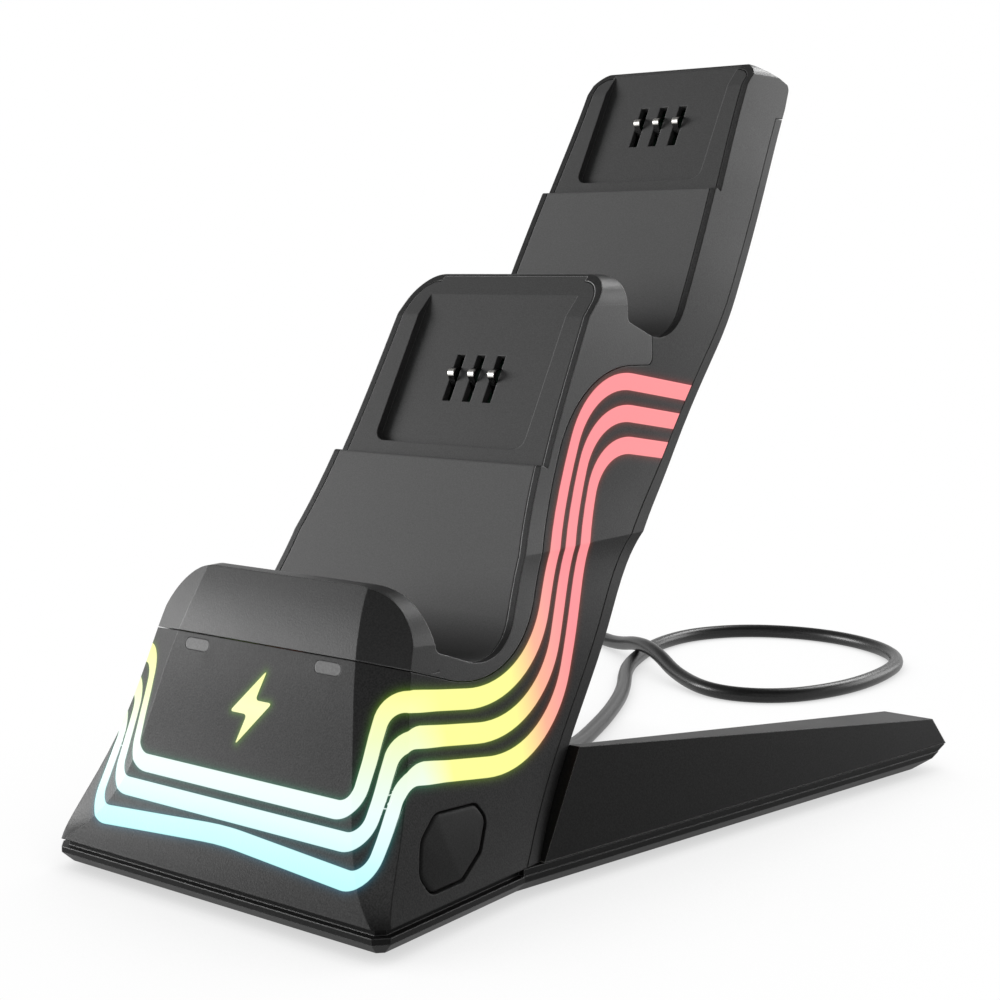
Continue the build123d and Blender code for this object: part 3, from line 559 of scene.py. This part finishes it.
def light_up(piece, owner=None):
    """Writes how deep each point is inside the lit stripes, and the light that bleeds in beside them."""
    lit = piece.data.attributes.new("lit", "FLOAT", "POINT")
    bleed = piece.data.attributes.new("bleed", "FLOAT_COLOR", "POINT")
    for vertex, depth_entry, bleed_entry in zip(piece.data.vertices, lit.data, bleed.data):
        depth = lit_depth(vertex.co, owner)
        light = bleed_colour(vertex.co, max(0.0, -depth) * mm)
        sign_distance = sign_tree.find_nearest(vertex.co)[3]
        if sign_distance < bleed_reach:
            light += bleed_sign * (math.exp(-sign_distance / bleed_width) * (1 - sign_distance / bleed_reach))
        depth_entry.value = depth
        bleed_entry.color = (*light, 1.0)


def bleed_colour(point, distance):
    """The light that comes through the shell at a point, by its distance from the nearest guide."""
    if distance > bleed_reach:
        return Vector((0.0, 0.0, 0.0))
    flank = between(bleed_flank, point.y / mm)
    front = between(bleed_front, point.z / mm)
    share = (corner_y[1] - point.y / mm) / (corner_y[1] - corner_y[0])
    tint = flank.lerp(front, max(0.0, min(1.0, share)))
    return tint * (math.exp(-distance / bleed_width) * (1 - distance / bleed_reach))


def refine(form, tree, reach, edge):
    """Splits the edges that lie within reach of a search tree until they are short."""
    for _ in range(9):
        long_edges = []
        for line in form.edges:
            length = line.calc_length()
            if length > edge:
                middle = (line.verts[0].co + line.verts[1].co) / 2
                if tree.find_nearest(middle)[3] < reach + length / 2:
                    long_edges.append(line)
        if not long_edges:
            break
        bmesh.ops.subdivide_edges(form, edges=long_edges, cuts=1)
        bmesh.ops.triangulate(form, faces=[face for face in form.faces if len(face.verts) > 3])


guide_trees = [tree_of([name]) for name in guide_names]
guide_tree = tree_of(guide_names)
shell_form = merged("main_shell")
shell_tree = BVHTree.FromBMesh(shell_form)


# The charge sign: a lit bolt let into the front panel

sign_middle = (0.0, 39.8)
sign_corners = [(2.7, 7.7), (-5.6, -1.4), (-0.7, -1.4), (-2.7, -7.7), (5.6, 1.6), (0.9, 1.6)]
sign_rise = 0.12
sign_depth = 0.5


def shell_front(x, z):
    """Where the front of the shell is at a place across and up it."""
    hit = shell_tree.ray_cast(Vector((x, -0.3, z)), Vector((0, 1, 0)))
    return hit[0]


sign_form = bmesh.new()
sign_points = [
    sign_form.verts.new(((x + sign_middle[0]) * mm, 0.0, (z + sign_middle[1]) * mm)) for x, z in sign_corners
]
sign_form.faces.new(sign_points)
bmesh.ops.bevel(
    sign_form, geom=sign_points, offset=0.9 * mm, affect="VERTICES", segments=4, profile=0.5, material=-1,
)
bmesh.ops.triangulate(sign_form, faces=sign_form.faces[:])
raised = bmesh.ops.extrude_face_region(sign_form, geom=sign_form.faces[:])["geom"]
raised_points = {item for item in raised if isinstance(item, bmesh.types.BMVert)}
for point in sign_form.verts:
    lift = -sign_rise if point in raised_points else sign_depth
    point.co.y = shell_front(point.co.x, point.co.z).y + lift * mm
bmesh.ops.recalc_face_normals(sign_form, faces=sign_form.faces[:])
sign_tree = BVHTree.FromBMesh(sign_form)
sign = add_piece("charge_sign", sign_form)
sign.data.materials.append(lit_sign("sign_acrylic"))
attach(sign, "dock")


# The shell, with the light of the guides and of the sign in it

refine(shell_form, guide_tree, bleed_reach, bleed_edge)
refine(shell_form, sign_tree, bleed_reach, bleed_edge)
shell = add_piece("glowing_shell", shell_form)
light_up(shell)
keep_normals(shell, "main_shell")
wear(shell, "shell_plastic")
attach(shell, "dock")
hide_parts("main_shell")


# The guides, lit where the stripes are

for number, name in enumerate(guide_names):
    guide_form = merged(name)
    refine(guide_form, guide_tree, bleed_reach, bleed_edge)
    guide = add_piece("lit_guide_" + str(number + 1), guide_form)
    light_up(guide, number)
    keep_normals(guide, name)
    wear(guide, "guide_plastic")
    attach(guide, "dock")
    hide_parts(name)


# The push button, with a rounded rim on its outer face

button_form = merged("mode_button")
bmesh.ops.dissolve_limit(
    button_form, angle_limit=math.radians(2.0), verts=button_form.verts[:], edges=button_form.edges[:],
)
button_rim = [
    edge for edge in button_form.edges
    if len(edge.link_faces) == 2
    and max(face.normal.x for face in edge.link_faces) > 0.8
    and min(face.normal.x for face in edge.link_faces) < 0.5
]
bmesh.ops.bevel(
    button_form, geom=button_rim, offset=0.9 * mm, affect="EDGES", segments=4, profile=0.5, material=-1,
)
bmesh.ops.triangulate(button_form, faces=button_form.faces[:])
button = add_piece("button_cap", button_form, crease=35.0)
wear(button, "button_plastic")
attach(button, "mode_button")
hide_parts("mode_button")


# Floor and light

def seen_rays(tree):
    """One for the rays that look at the background: from the camera, off gloss and through glass."""
    path = add(tree, "LightPath").outputs
    seen = add(tree, "Math", {0: path["Is Camera Ray"], 1: path["Is Glossy Ray"]}, operation="ADD").outputs[0]
    seen = add(tree, "Math", {0: seen, 1: path["Is Transmission Ray"]}, operation="ADD", use_clamp=True)
    return seen.outputs[0]


floor_form = bmesh.new()
bmesh.ops.create_grid(floor_form, x_segments=1, y_segments=1, size=6.0)
floor = add_piece("floor", floor_form)
floor_finish = bpy.data.materials.new("floor_paper")
floor_finish.use_nodes = True
floor_tree = floor_finish.node_tree
floor_tree.nodes.clear()
paper = add(floor_tree, "BsdfDiffuse", {"Color": (0.5, 0.5, 0.5, 1.0)}).outputs["BSDF"]
open_sky = add(floor_tree, "AmbientOcclusion", {"Distance": 0.1}, samples=8).outputs["AO"]
shade = span(floor_tree, open_sky, 0.1, 0.9, 0.62, 1.0)
white = add(floor_tree, "Emission", {"Color": (1.0, 1.0, 1.0, 1.0), "Strength": shade}).outputs["Emission"]
mixed = add(floor_tree, "MixShader", {0: seen_rays(floor_tree), 1: paper, 2: white}).outputs["Shader"]
add(floor_tree, "OutputMaterial", {"Surface": mixed})
floor.data.materials.append(floor_finish)

world = bpy.data.worlds.new("studio")
world.use_nodes = True
scene.world = world
sky = world.node_tree
sky.nodes.clear()
rise = add(sky, "SeparateXYZ", {"Vector": add(sky, "TexCoord").outputs["Generated"]}).outputs["Z"]
ambient = span(sky, rise, 0.0, 0.7, 0.24, 0.08)
backdrop_white = span(sky, rise, 0.3, 0.7, 1.0, 0.15)
strength = add(sky, "Mix", {"Factor": seen_rays(sky), "A": ambient, "B": backdrop_white}).outputs["Result"]
backdrop = add(sky, "Background", {"Color": (1.0, 1.0, 1.0, 1.0), "Strength": strength}).outputs["Background"]
add(sky, "OutputWorld", {"Surface": backdrop})


def soft_light(name, place, target, width, height, power):
    """A studio panel that faces a point."""
    lamp = bpy.data.lights.new(name, "AREA")
    lamp.shape = "RECTANGLE"
    lamp.size = width
    lamp.size_y = height
    lamp.energy = power
    holder = bpy.data.objects.new(name, lamp)
    holder.location = place
    holder.rotation_euler = (Vector(target) - Vector(place)).to_track_quat("-Z", "Y").to_euler()
    scene.collection.objects.link(holder)


soft_light("front_panel", (-1.15, -0.66, 0.32), (0.0, -0.05, 0.06), 0.7, 0.5, 24.0)
soft_light("rear_panel", (0.6, 1.13, 0.4), (0.02, 0.08, 0.15), 0.8, 0.6, 6.0)
soft_light("crown_light", (0.05, 1.1, 0.9), (0.0, 0.05, 0.12), 0.5, 0.5, 8.0)
